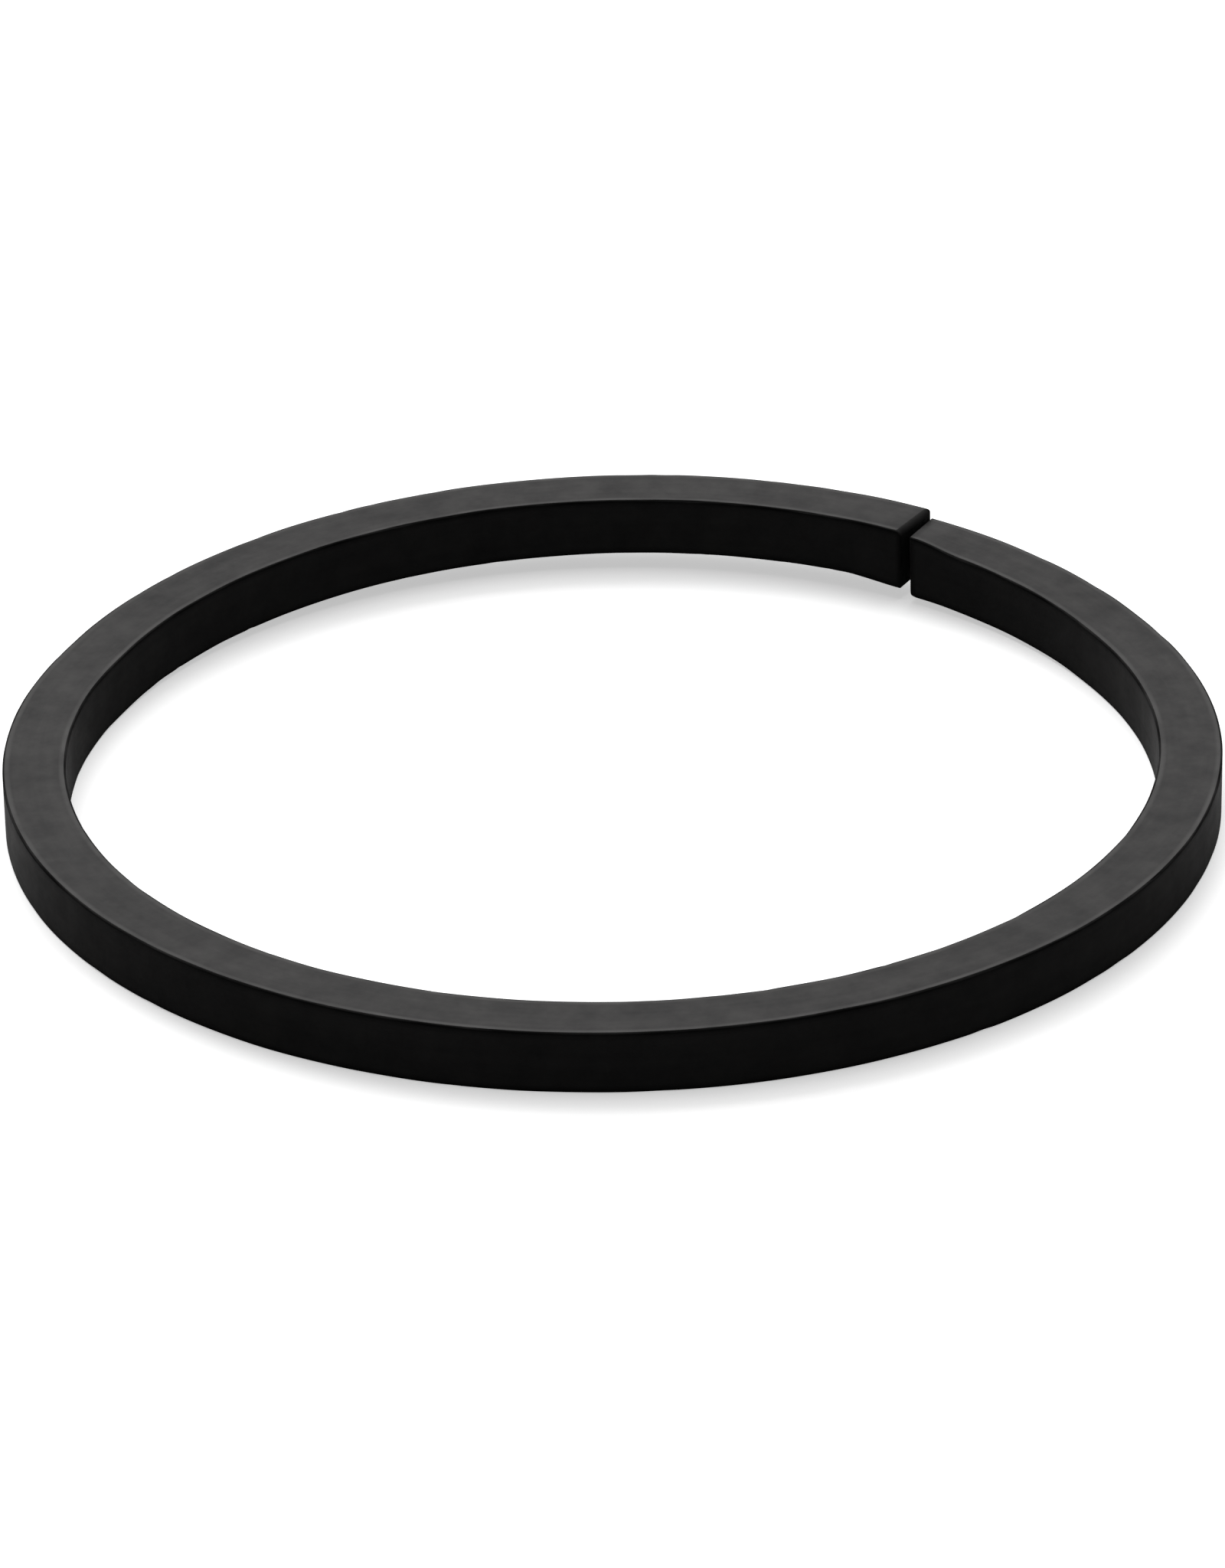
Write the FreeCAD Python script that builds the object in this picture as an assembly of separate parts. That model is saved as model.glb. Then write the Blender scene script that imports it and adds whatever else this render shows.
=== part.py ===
import FreeCAD, Part
import math
import os

from FreeCAD import Placement, Rotation, Vector

# External snap ring: one turn of square spring wire, split once, in millimetres, +Z up.
# The origin is the centre of the circle on the lower flat face, and +X runs through the middle
# of the split. Azimuths are in degrees from +X towards +Y, so the ends are at about 0.
# The stretch of ring beside each end is an arm with a small set: it stands up a little from the
# flat, as if turned about the radius at its root. The high arm is on the +Y side of the split.

# The wire
wire_width = 2.0            # across the wire, measured on a radius
wire_height = 2.0           # along the axis of the ring
wire_corner_radius = 0.06   # round of the four long edges

# The circle
outer_diameter = 38.5

# The split
split_gap = 0.03            # between the two ends at the ring's outside, where they are closest
oblique_cut = 10.5          # degrees between the low arm's end and a square cut
end_edge_share = 0.8        # round of the edges of both ends, as a share of the wire's own round

# The two arms, in degrees
high_arm_sweep = 103.0
high_arm_lift = 1.8
low_arm_sweep = 31.0
low_arm_lift = 1.5

UP = Vector(0, 0, 1)
CENTRE = Vector(0, 0, 0)
RADIAL = Vector(1, 0, 0)

outer_radius = outer_diameter / 2
inner_radius = outer_radius - wire_width
middle_radius = outer_radius - wire_width / 2
middle_height = wire_height / 2
end_edge_radius = end_edge_share * wire_corner_radius
middle_gap = split_gap + wire_width / 2 * math.tan(math.radians(oblique_cut))
high_end = math.degrees(middle_gap / 2 / middle_radius)
low_end = -high_end
high_root = high_end + high_arm_sweep
low_root = low_end - low_arm_sweep

# How far, in degrees, a stretch is made past its root before it is mitred there
mitre_overlap = math.degrees(wire_height / middle_radius)


def wire_section():
    """The wire's section, a square with rounded corners, in the XZ plane beside the axis."""
    round_in = wire_corner_radius * (1 - math.sqrt(0.5))    # from a sharp corner to its round's middle
    left, right = inner_radius, outer_radius
    low, high = 0, wire_height
    r = wire_corner_radius
    sides = [
        (Vector(left + r, 0, low), Vector(right - r, 0, low)),
        (Vector(right, 0, low + r), Vector(right, 0, high - r)),
        (Vector(right - r, 0, high), Vector(left + r, 0, high)),
        (Vector(left, 0, high - r), Vector(left, 0, low + r)),
    ]
    corners = [
        Vector(right - round_in, 0, low + round_in),
        Vector(right - round_in, 0, high - round_in),
        Vector(left + round_in, 0, high - round_in),
        Vector(left + round_in, 0, low + round_in),
    ]
    edges = []
    for (start, end), corner, (next_start, _) in zip(sides, corners, sides[1:] + sides[:1]):
        edges.append(Part.LineSegment(start, end).toShape())
        edges.append(Part.Arc(end, corner, next_start).toShape())
    return Part.Face(Part.Wire(edges))


def stretch(first, last):
    """A stretch of the flat ring, from azimuth first counter-clockwise to azimuth last."""
    solid = wire_section().revolve(CENTRE, UP, last - first)
    solid.rotate(CENTRE, UP, first)
    return solid


def lifted(solid, root, angle):
    """An arm turned by angle about the radius at its root, at the middle of the wire's height."""
    radius = Rotation(UP, root).multVec(RADIAL)
    solid.rotate(Vector(0, 0, middle_height), radius, angle)
    return solid


def side_block(azimuth, lean, way, skew=0.0):
    """A block larger than the wire, on one side of a plane across it at an azimuth.

    The plane leans about the radius by lean and is skewed about the vertical by skew.
    The block is on the side of higher azimuths if way is 1, and of lower ones if it is -1.
    """
    size = 2 * max(wire_width, wire_height)
    length = size + wire_height
    block = Part.makeBox(size, length, size, Vector(-size / 2, min(0, way * length), -size / 2))
    around = Rotation(UP, azimuth)
    turn = around.multiply(Rotation(UP, skew)).multiply(Rotation(RADIAL, lean))
    block.Placement = Placement(around.multVec(Vector(middle_radius, 0, middle_height)), turn)
    return block


def flat_stretch():
    """The flat part of the ring, mitred at the roots of both arms."""
    flat = stretch(high_root - mitre_overlap, 360 + low_root + mitre_overlap)
    flat = flat.cut(side_block(high_root, -high_arm_lift / 2, -1))
    return flat.cut(side_block(low_root, low_arm_lift / 2, 1))


def high_arm():
    """The arm on the +Y side, which ends squarely and stands up more."""
    arm = lifted(stretch(high_end, high_root + mitre_overlap), high_root, -high_arm_lift)
    return arm.cut(side_block(high_root, -high_arm_lift / 2, 1))


def low_arm():
    """The arm on the -Y side, which ends with an oblique cut, longest at its outer edge."""
    arm = stretch(low_root - mitre_overlap, low_end + mitre_overlap)
    arm = arm.cut(side_block(low_end, 0, 1, oblique_cut))
    arm = lifted(arm, low_root, low_arm_lift)
    return arm.cut(side_block(low_root, low_arm_lift / 2, -1))


def is_end_face(face):
    """Whether a face is one of the two that look at each other across the split."""
    return isinstance(face.Surface, Part.Plane) and abs(face.normalAt(0, 0).z) < 0.5


def snap_ring():
    """The whole ring as one solid, with the edges of its two ends rounded."""
    ring = flat_stretch().fuse([high_arm(), low_arm()]).removeSplitter()
    end_edges = [edge for face in ring.Faces if is_end_face(face) for edge in face.Edges]
    return ring.makeFillet(end_edge_radius, end_edges)


os.makedirs("parts", exist_ok=True)
snap_ring().exportStep("parts/snap_ring.step")
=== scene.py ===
"""The looks of a snap ring: one turn of black square spring wire, split once, on a pale floor.

The ring lies with its lower face on z = 0 and its axis on +Z, and +X runs through the split, as
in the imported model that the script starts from. Lengths are in metres unless a name says
otherwise, and azimuths run from +X towards +Y.
"""

import logging
import math
from dataclasses import dataclass, field, fields
from enum import Enum

import bpy
import numpy as np
from mathutils import Matrix, Vector


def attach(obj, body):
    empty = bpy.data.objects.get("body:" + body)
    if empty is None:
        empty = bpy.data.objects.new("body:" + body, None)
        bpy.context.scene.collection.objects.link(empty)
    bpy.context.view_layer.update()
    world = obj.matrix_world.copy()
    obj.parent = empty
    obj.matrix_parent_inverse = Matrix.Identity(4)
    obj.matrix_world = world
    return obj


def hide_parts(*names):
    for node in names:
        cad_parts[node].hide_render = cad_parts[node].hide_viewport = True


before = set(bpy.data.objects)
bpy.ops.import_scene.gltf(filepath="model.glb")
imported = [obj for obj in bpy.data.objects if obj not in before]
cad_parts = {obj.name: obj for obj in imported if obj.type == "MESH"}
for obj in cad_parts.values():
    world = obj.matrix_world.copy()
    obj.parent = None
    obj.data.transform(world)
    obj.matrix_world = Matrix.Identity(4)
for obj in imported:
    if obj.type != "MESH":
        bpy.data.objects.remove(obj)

MM = 0.001
SENSOR_MM = 36.0
WHITE = (1.0, 1.0, 1.0, 1.0)
WIRE_MAP = "wire"
EDGE_MARK = "edge"
LOG = logging.getLogger("snap_ring")

# The part of a noise's range that a pattern is spread over: the narrower, the starker it is
WIDE = (0.30, 0.70)
MIDDLE = (0.32, 0.68)
NARROW = (0.35, 0.65)

# Edge marks at a flat's side and at the ends of its strips: 1 for painted shade, -1 for a painted
# highlight
WALL_RIM = (1.0, 0.7, 0.3, 0.0)
FACE_RIM = (1.0, -1.0, -1.0, 0.0)

# The colour sockets of a Mix node, which share their names with its other sockets
MIX_FIRST = 6
MIX_SECOND = 7
MIX_RESULT = 2


class Side(Enum):
    """The four flats of the wire, in their order around its section."""

    LOWER = 0
    OUTER = 1
    UPPER = 2
    INNER = 3

    @property
    def rim(self) -> tuple[float, ...]:
        """The flat's edge marks: beside the corners the walls get painted shade, the faces a
        painted highlight.
        """
        return WALL_RIM if self in (Side.OUTER, Side.INNER) else FACE_RIM


class Skin(Enum):
    """The two finishes of the ring, by their place among its materials."""

    DRAWN = 0
    CUT = 1


def smooth_step(value: np.ndarray, start: float, stop: float) -> np.ndarray:
    """Rise from 0 at start to 1 at stop with level ends: 3t^2 - 2t^3, t clipped to 0...1.

    Args:
        value: Where to read the step.
        start: The value where it leaves 0.
        stop: The value where it reaches 1.

    Returns:
        The step, in the shape of value.
    """
    t = np.clip((value - start) / (stop - start), 0.0, 1.0)
    return t * t * (3.0 - 2.0 * t)


@dataclass(frozen=True)
class Arm:
    """A stretch of ring beside the split, set so that it rises from its root to its end.

    Attributes:
        sweep: Degrees of the circle from the arm's end to its root.
        lift: Degrees that the arm is turned about the radius at its root.
        bend: Degrees over which that turn is spread, from the root on.
    """

    sweep: float
    lift: float
    bend: float = 7.0

    def raised(self, points: np.ndarray, azimuths: np.ndarray, root: float, way: int,
               pivot_height: float) -> np.ndarray:
        """Turn the arm's points about the radius at its root, each as far as the bend has gone.

        A point's offset across that radius, c, and above it, h, become c cos a - h sin a and
        c sin a + h cos a, where the turn a grows by a smooth step over the bend.

        Args:
            points: Points of the whole ring, with their coordinates on the last axis.
            azimuths: The points' azimuths, in radians.
            root: Azimuth of the root, in radians.
            way: 1 where the arm runs to higher azimuths, or -1.
            pivot_height: Height of the radius.

        Returns:
            The points, with those of the arm turned.
        """
        bent = smooth_step(way * (azimuths - root), 0.0, math.radians(self.bend))
        turn = way * math.radians(self.lift) * bent
        radius = np.array([math.cos(root), math.sin(root), 0.0])
        across = np.array([-math.sin(root), math.cos(root), 0.0])
        c = points @ across
        h = points[..., 2] - pivot_height
        turned = (points @ radius)[..., None] * radius
        turned += (c * np.cos(turn) - h * np.sin(turn))[..., None] * across
        turned[..., 2] = c * np.sin(turn) + h * np.cos(turn) + pivot_height
        return turned


@dataclass(frozen=True)
class CutEnd:
    """One of the two ends, where the wire was sheared off.

    The shear rolls the edge that it enters by, and draws out a burr at the edge opposite.

    Attributes:
        rounds: Radius of the round between the end and each flat, in the order of Side.
        burr: How far the upper inner corner is drawn up, or the lower one down if negative.
        reach: How far back from the end the burr starts to rise.
        oblique: Degrees between the end and a square cut, longest at the ring's outside.
        lean: Degrees that the end leans forward at its top, before its arm is turned.
    """

    rounds: tuple[float, float, float, float]
    burr: float
    reach: float
    oblique: float = 0.0
    lean: float = 0.0

    def drawn(self, across: np.ndarray, up: np.ndarray, depth: np.ndarray) -> np.ndarray:
        """How far the shear has drawn each point up.

        It is the burr, times a smooth step that rises over the reach to the end, times the
        point's shares of the wire's width and height, both 1 at the burr's corner and 0 at the
        corner opposite.

        Args:
            across: The points' places across the wire, from -1 on the inner flat to 1.
            up: Their places up the wire, from -1 on the lower flat to 1.
            depth: How far back from the end they are.

        Returns:
            The rises, in the shape of up.
        """
        share = (1.0 - across) / 2 * (1.0 + math.copysign(1.0, self.burr) * up) / 2
        return self.burr * share * smooth_step(-depth, -self.reach, 0.0)


@dataclass(frozen=True)
class Grid:
    """How finely the ring's surface is divided.

    Attributes:
        along: Rows along the wire, between the rounds of its ends.
        strips: Where the narrow strips at each side of a flat end, as shares of the flat.
        flat: Divisions of each flat between its strips.
        corner: Divisions of each corner of the section.
        end_round: Rows of each end's round.
        end_face: Rings of each end's face, inside its round.
    """

    along: int = 900
    strips: tuple[float, ...] = (0.01, 0.05, 0.10)
    flat: int = 5
    corner: int = 7
    end_round: int = 7
    end_face: int = 4


@dataclass(frozen=True)
class Outline:
    """The points of the wire's section, each between two corners or on one.

    Attributes:
        before: The corner before each point, by its number.
        after: The corner after each point, or the corner it is on.
        share: How far each point is from the one corner to the other.
        normals: Each point's outward direction, as outwards and up.
        sides: Each point's place around: a flat's own number all over it, and on a corner from
            that of the flat before to the next.
        edge: 1 on the corners and 0 on the flats.
        rim: The edge mark: 1 on the corners, and on each flat its side's marks, or 0 within.
    """

    before: np.ndarray
    after: np.ndarray
    share: np.ndarray
    normals: np.ndarray
    sides: np.ndarray
    edge: np.ndarray
    rim: np.ndarray

    @classmethod
    def divided(cls, grid: Grid) -> "Outline":
        """Divide the section, starting amid the lower flat, where the map's seam is hidden.

        Args:
            grid: The divisions.

        Returns:
            The outline, counter-clockwise with outwards to the right and up above.
        """
        strips = np.array(grid.strips)
        middle = np.linspace(strips[-1], 1.0 - strips[-1], grid.flat + 1)[1:-1]
        flat = np.r_[0.0, strips, middle, 1.0 - strips[::-1]]
        corner = np.arange(grid.corner) / grid.corner
        number = np.repeat(np.arange(4), flat.size + grid.corner)
        on_flat = np.tile(np.r_[np.ones(flat.size), np.zeros(grid.corner)], 4).astype(bool)
        place = np.tile(np.r_[flat, corner], 4)
        angle = (number - 1 + np.where(on_flat, 0.0, place)) * math.pi / 2
        rims = [np.r_[side.rim, np.zeros(middle.size), side.rim[:0:-1], np.ones(grid.corner)]
                for side in Side]
        points = cls(
            before=(number - 1) % 4,
            after=number,
            share=np.where(on_flat, place, 1.0),
            normals=np.stack([np.cos(angle), np.sin(angle)], axis=1),
            sides=np.where(on_flat, number, number + place),
            edge=np.where(on_flat & (place > 0.0), 0.0, 1.0),
            rim=np.concatenate(rims),
        )
        return points.rolled(-(flat.size // 2))

    def rolled(self, shift: int) -> "Outline":
        """The same outline, with another point first."""
        return Outline(*(np.roll(getattr(self, part.name), shift, axis=0)
                         for part in fields(self)))


@dataclass(frozen=True)
class Relief:
    """Small unevenness of the drawn and coiled wire.

    Attributes:
        wave: Height of the long, faint waves of its faces.
        waves: How many waves are added up.
        wave_lengths_mm: The shortest and the longest wave.
        most_turns: The most turns that a wave makes around the wire.
        nick: Depth of the deepest nicks in its long edges.
        nicks: How many nicks there are on the whole ring.
        nick_widths_mm: The narrowest and the widest nick, along the wire from its middle.
        shallowest: Depth of the shallowest nick, as a share of the deepest.
        nick_reach: A nick's width around the wire, where a corner's own is 1.
        seed: Seed of the draws.
    """

    wave: float = 0.004 * MM
    waves: int = 14
    wave_lengths_mm: tuple[float, float] = (2.2, 11.0)
    most_turns: int = 3
    nick: float = 0.022 * MM
    nicks: int = 120
    nick_widths_mm: tuple[float, float] = (0.12, 0.45)
    shallowest: float = 0.25
    nick_reach: float = 0.3
    seed: int = 11

    def depth(self, along: np.ndarray, sides: np.ndarray, edge: np.ndarray) -> np.ndarray:
        """How far each point of the drawn surface stands out.

        The waves are sines of the length along the wire and of the turn around it. A nick is a
        bell curve of both, taken from the corners only.

        Args:
            along: Length along the wire, for each row and point.
            sides: Place around the wire, for each point, as the outline has it.
            edge: 1 on a corner and 0 on a flat, for each point.

        Returns:
            The heights, for each row and point, negative in a nick.
        """
        draw = np.random.default_rng(self.seed)
        height = np.zeros(along.shape)
        for length, turns, phase in zip(
            draw.uniform(*self.wave_lengths_mm, self.waves) * MM,
            draw.integers(1, self.most_turns + 1, self.waves),
            draw.uniform(0.0, math.tau, self.waves),
        ):
            height += np.sin(math.tau * along / length + turns * sides * math.pi / 2 + phase)
        height *= self.wave / math.sqrt(self.waves)
        for at, corner, width, deep in zip(
            draw.uniform(along.min(), along.max(), self.nicks),
            draw.integers(0, len(Side), self.nicks) + 0.5,
            draw.uniform(*self.nick_widths_mm, self.nicks) * MM,
            draw.uniform(self.shallowest, 1.0, self.nicks) * self.nick,
        ):
            bell = np.exp(-(((along - at) / width) ** 2)
                          - ((sides - corner) / self.nick_reach) ** 2)
            height -= deep * bell * edge
        return height


@dataclass(frozen=True)
class Pattern:
    """A noise, by its scale and its fineness.

    Attributes:
        stretch: Patterns for each unit of the three coordinates.
        detail: Octaves.
        rough: How strong the finer octaves are.
    """

    stretch: tuple[float, float, float]
    detail: float
    rough: float = 0.5


class NodeDesk:
    """The node tree of one material or world, filled one node at a time."""

    def __init__(self, tree: bpy.types.NodeTree) -> None:
        """Take over a tree and empty it."""
        self.tree = tree
        tree.nodes.clear()

    def add(self, kind: str, inputs: dict[str | int, object] | None = None,
            **settings: object) -> bpy.types.Node:
        """Add a node.

        Args:
            kind: The node's type.
            inputs: For each socket, by name or number, a value or the output that feeds it.
            settings: Properties of the node.

        Returns:
            The node.
        """
        node = self.tree.nodes.new(kind)
        for name, value in settings.items():
            setattr(node, name, value)
        for name, value in (inputs or {}).items():
            if isinstance(value, bpy.types.NodeSocket):
                self.tree.links.new(value, node.inputs[name])
            else:
                node.inputs[name].default_value = value
        return node

    def noise(self, place: bpy.types.NodeSocket, pattern: Pattern) -> bpy.types.NodeSocket:
        """Add a noise.

        Args:
            place: The coordinates that it lies on.
            pattern: Its scale and its fineness.

        Returns:
            The noise, from 0 to 1 with a mean of a half.
        """
        at = self.add("ShaderNodeMapping", {"Vector": place, "Scale": pattern.stretch})
        noise = self.add(
            "ShaderNodeTexNoise",
            {
                "Vector": at.outputs[0],
                "Scale": 1.0,
                "Detail": pattern.detail,
                "Roughness": pattern.rough,
            },
        )
        return noise.outputs[0]

    def ranged(self, value: bpy.types.NodeSocket, source: tuple[float, float],
               target: tuple[float, float]) -> bpy.types.NodeSocket:
        """Map a value straight from one range to another, clamped at both ends.

        Args:
            value: The value.
            source: Where the first range starts and ends.
            target: Where the second range starts and ends.

        Returns:
            The mapped value.
        """
        node = self.add(
            "ShaderNodeMapRange",
            {
                "Value": value,
                "From Min": source[0],
                "From Max": source[1],
                "To Min": target[0],
                "To Max": target[1],
            },
        )
        return node.outputs[0]

    def joined(self, first: bpy.types.NodeSocket, second: bpy.types.NodeSocket,
               operation: str = "ADD") -> bpy.types.NodeSocket:
        """Join two values, by adding them or by another operation of the Math node."""
        return self.add("ShaderNodeMath", {0: first, 1: second}, operation=operation).outputs[0]

    def mixed(self, share: bpy.types.NodeSocket, first: object,
              second: object) -> bpy.types.NodeSocket:
        """Mix two colours.

        Args:
            share: Share of the second colour, from 0 to 1.
            first: The first colour, an output or three numbers.
            second: The second colour, likewise.

        Returns:
            The mixed colour.
        """
        node = self.add("ShaderNodeMix", {"Factor": share}, data_type="RGBA")
        for number, value in ((MIX_FIRST, first), (MIX_SECOND, second)):
            if isinstance(value, bpy.types.NodeSocket):
                self.tree.links.new(value, node.inputs[number])
            else:
                node.inputs[number].default_value = (*value, 1.0)
        return node.outputs[MIX_RESULT]

    def seen(self, path: bpy.types.Node) -> bpy.types.NodeSocket:
        """Tell the rays that show a thing, directly, in gloss or through glass, from the others.

        Args:
            path: A Light Path node.

        Returns:
            1 for those rays and 0 for the others.
        """
        seen = self.joined(path.outputs["Is Camera Ray"], path.outputs["Is Glossy Ray"],
                           "MAXIMUM")
        return self.joined(seen, path.outputs["Is Transmission Ray"], "MAXIMUM")


@dataclass(frozen=True)
class BlackOxide:
    """Satin black oxide on drawn spring wire, with painted shade on its long edges and a painted
    highlight beside them.

    Attributes:
        name: The material's name.
        deep: Colour where the coat is thick.
        thin: Colour where the coat is thin.
        edges: Colour of the painted shade on the corners and the walls' rims.
        painted_highlight: Colour of the painted highlight on the faces beside the corners.
        roughness: Roughness of the smoothest and of the dullest places.
        shaded_rim_roughness: Roughness where the corners' shade is painted.
        shine: Specular level.
        line_depth: Height of the drawing lines.
        grain_depth: Height of the coat's fine grain.
        streaks: Pattern of the coat's thickness that follows the wire.
        lines: Pattern of the drawing lines.
        mottle: Pattern of the coat's thickness that doesn't follow the wire.
        grain: Pattern of the fine grain.
        patches: Pattern by which the painted shade and the painted highlight come and go along the
            wire.
        mottled_coat: Share of the coat's thickness that is mottle, where the rest is streaks.
        mottled_dull: Share of its dullness that is mottle, where the rest is drawing lines.
        least_painted_shade: Strength of the painted shade where the patches leave least of it.
        least_painted_highlight: Strength of the painted highlight where the patches leave least of
            it.
    """

    name: str = "black_oxide_wire"
    deep: tuple[float, float, float] = (0.0450, 0.0443, 0.0446)
    thin: tuple[float, float, float] = (0.0708, 0.0689, 0.0677)
    edges: tuple[float, float, float] = (0.0080, 0.0078, 0.0078)
    painted_highlight: tuple[float, float, float] = (0.0980, 0.0960, 0.0950)
    roughness: tuple[float, float] = (0.40, 0.56)
    shaded_rim_roughness: float = 0.85
    shine: float = 0.008
    line_depth: float = 0.0012 * MM
    grain_depth: float = 0.0016 * MM
    streaks: Pattern = Pattern((0.11, 5.5, 1.0), 3.0, 0.6)
    lines: Pattern = Pattern((0.35, 26.0, 1.0), 2.0)
    mottle: Pattern = Pattern((900.0, 900.0, 900.0), 4.0, 0.62)
    grain: Pattern = Pattern((15000.0, 15000.0, 15000.0), 2.0)
    patches: Pattern = Pattern((0.45, 0.6, 1.0), 3.0, 0.6)
    mottled_coat: float = 0.65
    mottled_dull: float = 0.6
    least_painted_shade: float = 0.65
    least_painted_highlight: float = 0.3

    def material(self) -> bpy.types.Material:
        """Make the material.

        The edge mark is painted shade above 0 and a painted highlight below it. Lines, streaks and
        patches lie on the wire's own map, in millimetres, and mottle and grain on the place, in
        metres.

        Returns:
            The material.
        """
        material = bpy.data.materials.new(self.name)
        material.use_nodes = True
        desk = NodeDesk(material.node_tree)
        wire = desk.add("ShaderNodeUVMap", uv_map=WIRE_MAP).outputs[0]
        place = desk.add("ShaderNodeTexCoord").outputs["Object"]
        edge = desk.add("ShaderNodeAttribute", attribute_name=EDGE_MARK).outputs["Fac"]

        streaks = desk.noise(wire, self.streaks)
        lines = desk.noise(wire, self.lines)
        mottle = desk.noise(place, self.mottle)
        grain = desk.noise(place, self.grain)
        patches = desk.noise(wire, self.patches)

        coat = desk.joined(desk.ranged(mottle, MIDDLE, (0.0, self.mottled_coat)),
                           desk.ranged(streaks, WIDE, (0.0, 1.0 - self.mottled_coat)))
        # Painted shade: the corners and the walls' rims are darkened towards the edges colour
        painted_shade = desk.joined(desk.ranged(edge, (0.0, 1.0), (0.0, 1.0)),
                            desk.ranged(patches, NARROW, (1.0, self.least_painted_shade)), "MULTIPLY")
        # Painted highlight: the upper and lower faces are lightened in a band beside the corners
        painted_highlight = desk.joined(desk.ranged(edge, (-1.0, 0.0), (1.0, 0.0)),
                             desk.ranged(patches, NARROW, (self.least_painted_highlight, 1.0)), "MULTIPLY")
        colour = desk.mixed(painted_highlight, desk.mixed(coat, self.deep, self.thin), self.painted_highlight)
        colour = desk.mixed(painted_shade, colour, self.edges)
        dull = desk.joined(desk.ranged(mottle, WIDE, (self.mottled_dull, 0.0)),
                           desk.ranged(lines, WIDE, (0.0, 1.0 - self.mottled_dull)))
        shaded_rim_roughness = desk.ranged(painted_shade, (0.0, 1.0), (0.0, self.shaded_rim_roughness))
        roughness = desk.joined(desk.ranged(dull, (0.0, 1.0), self.roughness),
                                shaded_rim_roughness, "MAXIMUM")
        fine = desk.add("ShaderNodeBump",
                        {"Height": grain, "Strength": 1.0, "Distance": self.grain_depth})
        drawn = desk.add(
            "ShaderNodeBump",
            {"Height": lines, "Strength": 1.0, "Distance": self.line_depth,
             "Normal": fine.outputs[0]},
        )
        surface = desk.add(
            "ShaderNodeBsdfPrincipled",
            {
                "Base Color": colour,
                "Roughness": roughness,
                "Normal": drawn.outputs[0],
                "Specular IOR Level": self.shine,
            },
        )
        desk.add("ShaderNodeOutputMaterial", {"Surface": surface.outputs[0]})
        return material


@dataclass(frozen=True)
class ShearedEnd:
    """The cut face of the wire: grainy, and darker than the coat beside it.

    Attributes:
        name: The material's name.
        dark: Colour of its hollows.
        light: Colour of its ridges.
        roughness: Roughness.
        shine: Specular level.
        tear_depth: Height of the marks that the cut left.
        tears: Pattern of those marks, which are long upwards.
    """

    name: str = "black_oxide_cut"
    dark: tuple[float, float, float] = (0.008, 0.008, 0.008)
    light: tuple[float, float, float] = (0.022, 0.022, 0.022)
    roughness: float = 0.6
    shine: float = 0.02
    tear_depth: float = 0.02 * MM
    tears: Pattern = Pattern((6000.0, 6000.0, 900.0), 3.0, 0.6)

    def material(self) -> bpy.types.Material:
        """Make the material, with the marks of the cut in its colour and its height.

        Returns:
            The material.
        """
        material = bpy.data.materials.new(self.name)
        material.use_nodes = True
        desk = NodeDesk(material.node_tree)
        place = desk.add("ShaderNodeTexCoord").outputs["Object"]
        marks = desk.noise(place, self.tears)
        colour = desk.mixed(desk.ranged(marks, NARROW, (0.0, 1.0)), self.dark, self.light)
        torn = desk.add("ShaderNodeBump",
                        {"Height": marks, "Strength": 1.0, "Distance": self.tear_depth})
        surface = desk.add(
            "ShaderNodeBsdfPrincipled",
            {
                "Base Color": colour,
                "Roughness": self.roughness,
                "Normal": torn.outputs[0],
                "Specular IOR Level": self.shine,
            },
        )
        desk.add("ShaderNodeOutputMaterial", {"Surface": surface.outputs[0]})
        return material


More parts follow.
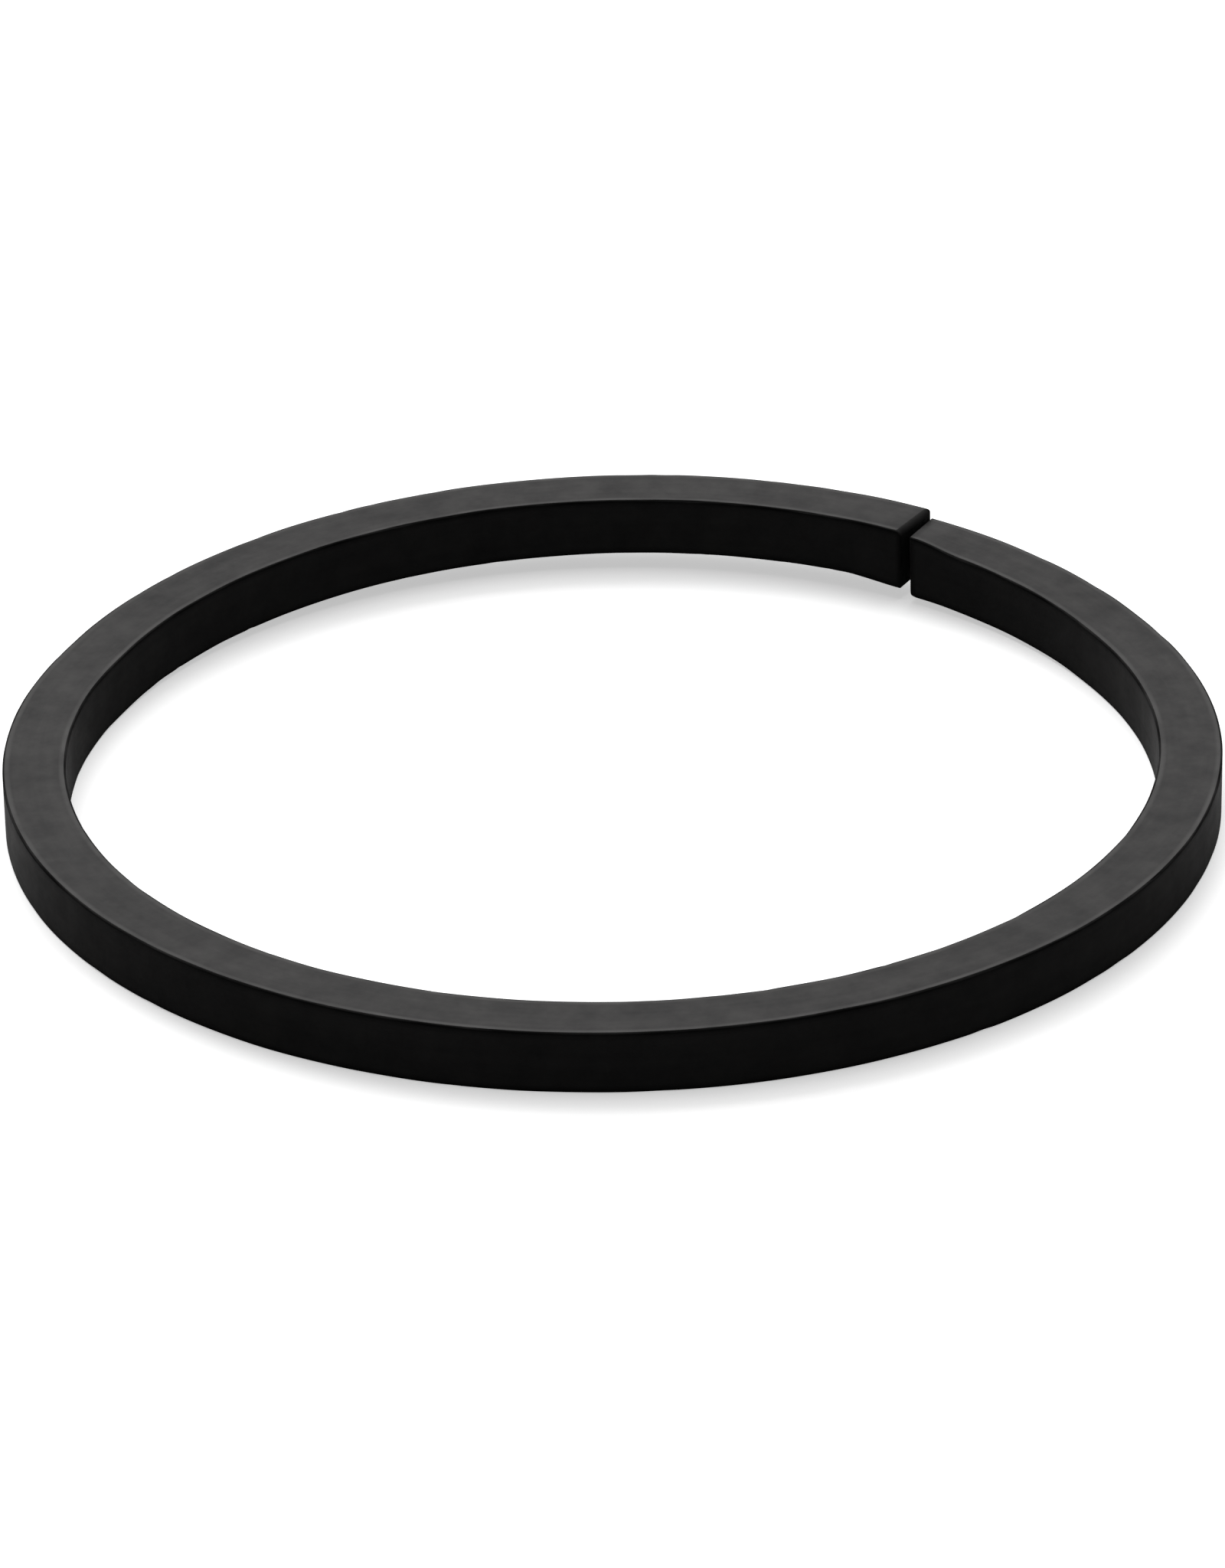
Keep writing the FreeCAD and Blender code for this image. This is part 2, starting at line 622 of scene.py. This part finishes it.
@dataclass
class SnapRing:
    """The ring: a rounded square section carried around a circle, with two cut ends.

    Attributes:
        outer_diameter: Across the outside of the circle.
        wire_width: The wire, on a radius.
        wire_height: The wire, along the axis.
        corner_radius: Round of the wire's four long edges.
        gap: Between the ends at the ring's outside, where they are closest.
        high_arm: The arm on the +Y side of the split.
        low_arm: The arm on the -Y side of the split.
        high_cut: The high arm's end.
        low_cut: The low arm's end.
        shear_reach: How far back from an oblique end the wire's rows are sheared with it.
        end_painted_shade: Edge mark of the ends' rounds, which paints shade on them, where the
            wire's corners have 1.
        grid: Divisions of the surface.
        relief: Unevenness of the surface.
        coat: Finish of the drawn faces.
        cut_face: Finish of the two end faces.
    """

    outer_diameter: float = 38.5 * MM
    wire_width: float = 2.0 * MM
    wire_height: float = 2.0 * MM
    corner_radius: float = 0.06 * MM
    gap: float = 0.03 * MM
    high_arm: Arm = Arm(sweep=103.0, lift=1.8)
    low_arm: Arm = Arm(sweep=31.0, lift=1.5)
    high_cut: CutEnd = CutEnd(rounds=(0.03 * MM, 0.05 * MM, 0.20 * MM, 0.06 * MM),
                              burr=-0.13 * MM, reach=2.4 * MM)
    low_cut: CutEnd = CutEnd(rounds=(0.28 * MM, 0.03 * MM, 0.03 * MM, 0.08 * MM),
                             burr=0.19 * MM, reach=2.4 * MM, oblique=10.5, lean=1.3)
    shear_reach: float = 2.5 * MM
    end_painted_shade: float = 0.7
    grid: Grid = field(default_factory=Grid)
    relief: Relief = field(default_factory=Relief)
    coat: BlackOxide = field(default_factory=BlackOxide)
    cut_face: ShearedEnd = field(default_factory=ShearedEnd)

    @property
    def middle_radius(self) -> float:
        """Radius of the middle of the wire."""
        return (self.outer_diameter - self.wire_width) / 2

    @property
    def middle_gap(self) -> float:
        """Gap at the middle of the wire's width, where the oblique cut has opened it."""
        return self.gap + self.wire_width / 2 * math.tan(math.radians(self.low_cut.oblique))

    @property
    def length(self) -> float:
        """Length of the wire's middle line, from end to end."""
        return math.tau * self.middle_radius - self.middle_gap

    @property
    def first_azimuth(self) -> float:
        """Azimuth of the high arm's end, in radians."""
        return self.middle_gap / 2 / self.middle_radius

    def end_profile(self, outline: Outline, cut: CutEnd) -> tuple[np.ndarray, ...]:
        """The rows from the middle of an end's face out over its round.

        On the round, with b from 90 degrees on the face to 0 on the flats, a side with the
        radius r is set in by r (1 - cos b) at the depth r (1 - sin b). On the face, rings
        shrink to a point.

        Args:
            outline: The section's points.
            cut: The end.

        Returns:
            For each row, how far each flat is set in and how large the row is, from 0 for the
            point to 1, and for each row and point the depth from the face.
        """
        rounds = np.array(cut.rounds)
        shrink = np.r_[np.arange(self.grid.end_face) / self.grid.end_face,
                       np.ones(self.grid.end_round)]
        b = np.linspace(math.pi / 2, 0.0, self.grid.end_round + 1)[:-1]
        b = np.r_[np.full(self.grid.end_face, math.pi / 2), b]
        set_in = (1.0 - np.cos(b))[:, None] * rounds
        radius = np.interp(outline.sides % 4, np.arange(5), np.r_[rounds, rounds[0]])
        depth = (1.0 - np.sin(b))[:, None] * radius
        return set_in, shrink, depth

    def rows(self, outline: Outline) -> tuple[np.ndarray, ...]:
        """All rows, from the middle of the high arm's end to the middle of the low arm's.

        Args:
            outline: The section's points.

        Returns:
            For each row, the flats' insets and the row's size, and for each row and point the
            length along the wire.
        """
        high_in, high_size, high_depth = self.end_profile(outline, self.high_cut)
        low_in, low_size, low_depth = self.end_profile(outline, self.low_cut)
        start = max(self.high_cut.rounds)
        stop = self.length - max(self.low_cut.rounds)
        between = np.linspace(start, stop, self.grid.along)[:, None]
        along = np.concatenate([
            high_depth,
            np.broadcast_to(between, (self.grid.along, outline.share.size)),
            self.length - low_depth[::-1],
        ])
        insets = np.concatenate([high_in, np.zeros((self.grid.along, 4)), low_in[::-1]])
        sizes = np.r_[high_size, np.ones(self.grid.along), low_size[::-1]]
        return insets, sizes, along

    def offsets(self, outline: Outline, insets: np.ndarray, sizes: np.ndarray) -> np.ndarray:
        """Each point's offset from the middle of the wire, outwards and up.

        A point is the straight mix of its two corners' centres by its share, plus the corner's
        radius along its normal. The corner's radius shrinks with the smallest inset.

        Args:
            outline: The section's points.
            insets: For each row, how far each flat is set in.
            sizes: For each row, its size about the middle of its own section.

        Returns:
            The offsets, for each row, point and direction.
        """
        low, outer, up, inner = insets.T
        corner = self.corner_radius - insets.min(axis=1)
        x0 = -self.wire_width / 2 + inner + corner
        x1 = self.wire_width / 2 - outer - corner
        y0 = -self.wire_height / 2 + low + corner
        y1 = self.wire_height / 2 - up - corner
        centres = np.stack([np.stack([x1, y0], 1), np.stack([x1, y1], 1),
                            np.stack([x0, y1], 1), np.stack([x0, y0], 1)], axis=1)
        share = outline.share[:, None]
        points = centres[:, outline.before] * (1 - share) + centres[:, outline.after] * share
        points = points + corner[:, None, None] * outline.normals
        middle = centres.mean(axis=1, keepdims=True)
        return middle + (points - middle) * sizes[:, None, None]

    def surface(self) -> tuple[np.ndarray, np.ndarray, Outline]:
        """The ring's surface, for each row along the wire and each point around it.

        A point with the offsets x outwards and y up is on the circle at the radius of the
        middle of the wire plus x, at the azimuth of its length along the wire. Near the low end
        that azimuth gains x tan(oblique) + y tan(lean) over the radius. The burrs are added to
        y, and the arms are turned last.

        Returns:
            The points, their lengths along the wire, and the outline.
        """
        outline = Outline.divided(self.grid)
        insets, sizes, along = self.rows(outline)
        offsets = self.offsets(outline, insets, sizes)
        height = self.relief.depth(along, outline.sides, outline.edge) * (sizes == 1.0)[:, None]
        offsets = offsets + height[..., None] * outline.normals
        x, y = offsets[..., 0], offsets[..., 1]
        across, up = 2 * x / self.wire_width, 2 * y / self.wire_height
        y = (y + self.high_cut.drawn(across, up, along)
             + self.low_cut.drawn(across, up, self.length - along))
        azimuth = self.first_azimuth + along / self.middle_radius
        sheared = smooth_step(along, self.length - self.shear_reach, self.length)
        forward = (x * math.tan(math.radians(self.low_cut.oblique))
                   + y * math.tan(math.radians(self.low_cut.lean)))
        radius = self.middle_radius + x
        azimuth = azimuth + forward * sheared / radius
        points = np.stack([radius * np.cos(azimuth), radius * np.sin(azimuth),
                           y + self.wire_height / 2], axis=-1)
        high_root = self.first_azimuth + math.radians(self.high_arm.sweep)
        low_root = math.tau - self.first_azimuth - math.radians(self.low_arm.sweep)
        points = self.high_arm.raised(points, azimuth, high_root, -1, self.wire_height / 2)
        points = self.low_arm.raised(points, azimuth, low_root, 1, self.wire_height / 2)
        return points, along, outline

    def build(self) -> bpy.types.Object:
        """Make the ring's object, with its faces outward and its two finishes.

        The first and last rows are single points, so their faces are triangles.

        Returns:
            The object, at the origin.
        """
        points, along, outline = self.surface()
        rows, around = along.shape
        numbers = 1 + np.arange((rows - 2) * around).reshape(rows - 2, around)
        last = numbers[-1, -1] + 1
        vertices = np.concatenate([points[:1, 0], points[1:-1].reshape(-1, 3), points[-1:, 0]])

        beside = np.roll(numbers, -1, axis=1)
        quads = np.stack([numbers[:-1], numbers[1:], beside[1:], beside[:-1]], axis=-1)
        first_fan = np.stack([np.zeros(around, int), numbers[0], beside[0]], axis=-1)
        last_fan = np.stack([numbers[-1], np.full(around, last), beside[-1]], axis=-1)
        mesh = bpy.data.meshes.new("snap_ring_wire")
        corners = np.concatenate([first_fan.ravel(), quads.reshape(-1), last_fan.ravel()])
        counts = np.r_[np.full(around, 3), np.full(quads.size // 4, 4), np.full(around, 3)]
        starts = np.r_[0, np.cumsum(counts)[:-1]]
        mesh.vertices.add(len(vertices))
        mesh.vertices.foreach_set("co", vertices.astype(np.float32).ravel())
        mesh.loops.add(len(corners))
        mesh.loops.foreach_set("vertex_index", corners.astype(np.int32))
        mesh.polygons.add(len(counts))
        mesh.polygons.foreach_set("loop_start", starts.astype(np.int32))
        mesh.update(calc_edges=True)

        self.lay_map(mesh, along, corners)
        self.mark_edges(mesh, rows, outline)
        self.dress(mesh, rows, around)
        mesh.shade_smooth()
        mesh.validate()
        ring = bpy.data.objects.new("snap_ring_wire", mesh)
        bpy.context.scene.collection.objects.link(ring)
        return ring

    def lay_map(self, mesh: bpy.types.Mesh, along: np.ndarray, corners: np.ndarray) -> None:
        """Give the mesh a map in millimetres: length along the wire, and way around it.

        Args:
            mesh: The mesh.
            along: Length along the wire, for each row and point.
            corners: Vertex of each face corner.
        """
        rows, around = along.shape
        perimeter = 2 * (self.wire_width + self.wire_height)
        way = np.linspace(0.0, perimeter, around, endpoint=False)
        ways = np.r_[0.0, np.tile(way, rows - 2), 0.0]
        lengths = np.r_[along[0, 0], along[1:-1].ravel(), along[-1, 0]]
        u, v = lengths[corners], ways[corners]
        fan = 3 * around
        quads = v[fan:-fan].reshape(-1, 4)
        wrapped = np.ptp(quads, axis=1) > perimeter / 2
        quads[wrapped] = np.where(quads[wrapped] < perimeter / 2,
                                  quads[wrapped] + perimeter, quads[wrapped])
        layer = mesh.uv_layers.new(name=WIRE_MAP)
        pairs = np.stack([u, v], axis=1) / MM
        layer.uv.foreach_set("vector", pairs.astype(np.float32).ravel())

    def mark_edges(self, mesh: bpy.types.Mesh, rows: int, outline: Outline) -> None:
        """Give the vertices their edge mark, which the coat's painted shade and painted highlight
        follow.

        It is the outline's on every row, and on the ends' rounds no less than theirs, so that
        shade is painted on those rounds too.

        Args:
            mesh: The mesh.
            rows: Rows of the surface, the two single points among them.
            outline: The section's points.
        """
        marks = np.tile(outline.rim, (rows, 1))
        face, over = self.grid.end_face, self.grid.end_round
        # Painted shade on both ends' rounds: their mark is raised to at least end_painted_shade
        for part in (slice(face, face + over), slice(rows - face - over, rows - face)):
            marks[part] = np.maximum(marks[part], self.end_painted_shade)
        values = np.r_[0.0, marks[1:-1].ravel(), 0.0]
        mark = mesh.attributes.new(EDGE_MARK, "FLOAT", "POINT")
        mark.data.foreach_set("value", values.astype(np.float32))

    def dress(self, mesh: bpy.types.Mesh, rows: int, around: int) -> None:
        """Give the faces their finishes: the cut's inside both rounds, the coat elsewhere.

        Args:
            mesh: The mesh.
            rows: Rows of the surface.
            around: Points around it.
        """
        mesh.materials.append(self.coat.material())
        mesh.materials.append(self.cut_face.material())
        strip = np.full(rows - 1, Skin.DRAWN.value)
        strip[:self.grid.end_face] = Skin.CUT.value
        strip[rows - 1 - self.grid.end_face:] = Skin.CUT.value
        mesh.polygons.foreach_set("material_index", np.repeat(strip, around).astype(np.int32))


@dataclass(frozen=True)
class Softbox:
    """A square lamp that shines on the ring.

    Attributes:
        name: The lamp's name.
        azimuth: Where it stands, in degrees from the camera's own azimuth.
        elevation: Degrees above the floor.
        distance: From the ring.
        size: Side of the square.
        light: Irradiance that it gives a face turned to it at the ring, over pi.
    """

    name: str
    azimuth: float
    elevation: float
    distance: float
    size: float
    light: float


@dataclass(frozen=True)
class View:
    """The camera's place.

    Attributes:
        azimuth: Degrees.
        elevation: Degrees above the floor.
        distance: From the origin, which its line of sight goes through.
        lens_mm: Focal length, for a picture whose longer side is SENSOR_MM.
        shift: Lens shift to the right and up, as shares of the picture's longer side.
        roll: Degrees that the camera is turned about its line of sight.
        clip: The nearest and the farthest that the camera sees.
    """

    azimuth: float = -145.42
    elevation: float = 26.824
    distance: float = 237.78 * MM
    lens_mm: float = 172.01
    shift: tuple[float, float] = (-0.0004, 0.009)
    roll: float = -1.109
    clip: tuple[float, float] = (0.01, 20.0)


def direction(azimuth: float, elevation: float) -> Vector:
    """The unit vector towards an azimuth and an elevation, in degrees."""
    a, e = math.radians(azimuth), math.radians(elevation)
    return Vector((math.cos(a) * math.cos(e), math.sin(a) * math.cos(e), math.sin(e)))


@dataclass
class Studio:
    """A plain pale floor, a soft sky, softboxes and the camera.

    Attributes:
        view: The camera's place.
        floor_size: Side of the floor.
        floor_drop: How far the floor is below the ring's lower face.
        floor_seen: Colour of the floor, seen directly or in a reflection.
        floor_bounced: Colour of the floor for the light that it throws back.
        floor_glow: Plain white added to the floor in the picture, which lightens shadows.
        sky_light: Strength of the sky as a light. Where it is seen it is 1.
        softboxes: The lamps.
    """

    view: View = field(default_factory=View)
    floor_size: float = 1.2
    floor_drop: float = 0.01 * MM
    floor_seen: float = 0.97
    floor_bounced: float = 0.08
    floor_glow: float = 0.5
    sky_light: float = 0.08
    softboxes: tuple[Softbox, ...] = (
        Softbox("back_softbox", azimuth=196.0, elevation=40.0, distance=3.0, size=2.7, light=0.95),
        Softbox("top_softbox", azimuth=180.0, elevation=75.0, distance=3.0, size=2.1, light=0.40),
    )

    def build(self) -> None:
        """Set up the floor, the light and the camera."""
        self.lay_floor()
        self.light_sky()
        for softbox in self.softboxes:
            self.hang(softbox)
        self.place_camera()
        bpy.context.scene.view_settings.view_transform = "Standard"

    def lay_floor(self) -> None:
        """Make the floor: pale for the camera and for gloss, and dark for its own bounce."""
        half, level = self.floor_size / 2, -self.floor_drop
        mesh = bpy.data.meshes.new("floor")
        mesh.from_pydata([(-half, -half, level), (half, -half, level),
                          (half, half, level), (-half, half, level)], [], [(0, 1, 2, 3)])
        material = bpy.data.materials.new("pale_floor")
        material.use_nodes = True
        desk = NodeDesk(material.node_tree)
        path = desk.add("ShaderNodeLightPath")
        colour = desk.mixed(desk.seen(path), (self.floor_bounced,) * 3, (self.floor_seen,) * 3)
        matt = desk.add("ShaderNodeBsdfDiffuse", {"Color": colour})
        glow = desk.ranged(path.outputs["Is Camera Ray"], (0.0, 1.0), (0.0, self.floor_glow))
        white = desk.add("ShaderNodeEmission", {"Color": WHITE, "Strength": glow})
        pale = desk.add("ShaderNodeAddShader", {0: matt.outputs[0], 1: white.outputs[0]})
        desk.add("ShaderNodeOutputMaterial", {"Surface": pale.outputs[0]})
        mesh.materials.append(material)
        floor = bpy.data.objects.new("floor", mesh)
        bpy.context.scene.collection.objects.link(floor)

    def light_sky(self) -> None:
        """Make the sky: an even soft light, and white where it is seen."""
        world = bpy.data.worlds.new("soft_sky")
        bpy.context.scene.world = world
        world.use_nodes = True
        desk = NodeDesk(world.node_tree)
        path = desk.add("ShaderNodeLightPath")
        strength = desk.ranged(desk.seen(path), (0.0, 1.0), (self.sky_light, 1.0))
        sky = desk.add("ShaderNodeBackground", {"Color": WHITE, "Strength": strength})
        desk.add("ShaderNodeOutputWorld", {"Surface": sky.outputs[0]})

    def hang(self, softbox: Softbox) -> None:
        """Hang a softbox, turned to the ring.

        A square lamp of power P has the radiance P / (pi side^2), so at the distance d it gives
        the irradiance P / (pi d^2) to a face turned to it.

        Args:
            softbox: The lamp.
        """
        lamp = bpy.data.lights.new(softbox.name, "AREA")
        lamp.shape = "SQUARE"
        lamp.size = softbox.size
        lamp.energy = softbox.light * math.pi * math.pi * softbox.distance**2
        towards = direction(self.view.azimuth + softbox.azimuth, softbox.elevation)
        hung = bpy.data.objects.new(softbox.name, lamp)
        hung.location = towards * softbox.distance
        hung.rotation_euler = towards.to_track_quat("Z", "Y").to_euler()
        bpy.context.scene.collection.objects.link(hung)

    def place_camera(self) -> None:
        """Place the camera, turned to the origin and then rolled about its line of sight."""
        data = bpy.data.cameras.new("camera")
        data.lens = self.view.lens_mm
        data.sensor_width = SENSOR_MM
        data.shift_x, data.shift_y = self.view.shift
        data.clip_start, data.clip_end = self.view.clip
        camera = bpy.data.objects.new("camera", data)
        back = direction(self.view.azimuth, self.view.elevation)
        turn = back.to_track_quat("Z", "Y").to_matrix() @ Matrix.Rotation(
            math.radians(self.view.roll), 3, "Z")
        place = Matrix.Translation(back * self.view.distance)
        camera.matrix_world = place @ turn.to_4x4()
        bpy.context.scene.collection.objects.link(camera)
        bpy.context.scene.camera = camera


def main() -> None:
    """Build the ring and the studio."""
    logging.basicConfig(level=logging.INFO, format="%(name)s: %(message)s")
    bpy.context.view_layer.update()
    ring = SnapRing().build()
    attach(ring, "root")
    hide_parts("snap_ring")
    LOG.info("ring: %d faces", len(ring.data.polygons))
    Studio().build()
    LOG.info("studio: done")


if __name__ == "__main__":
    main()
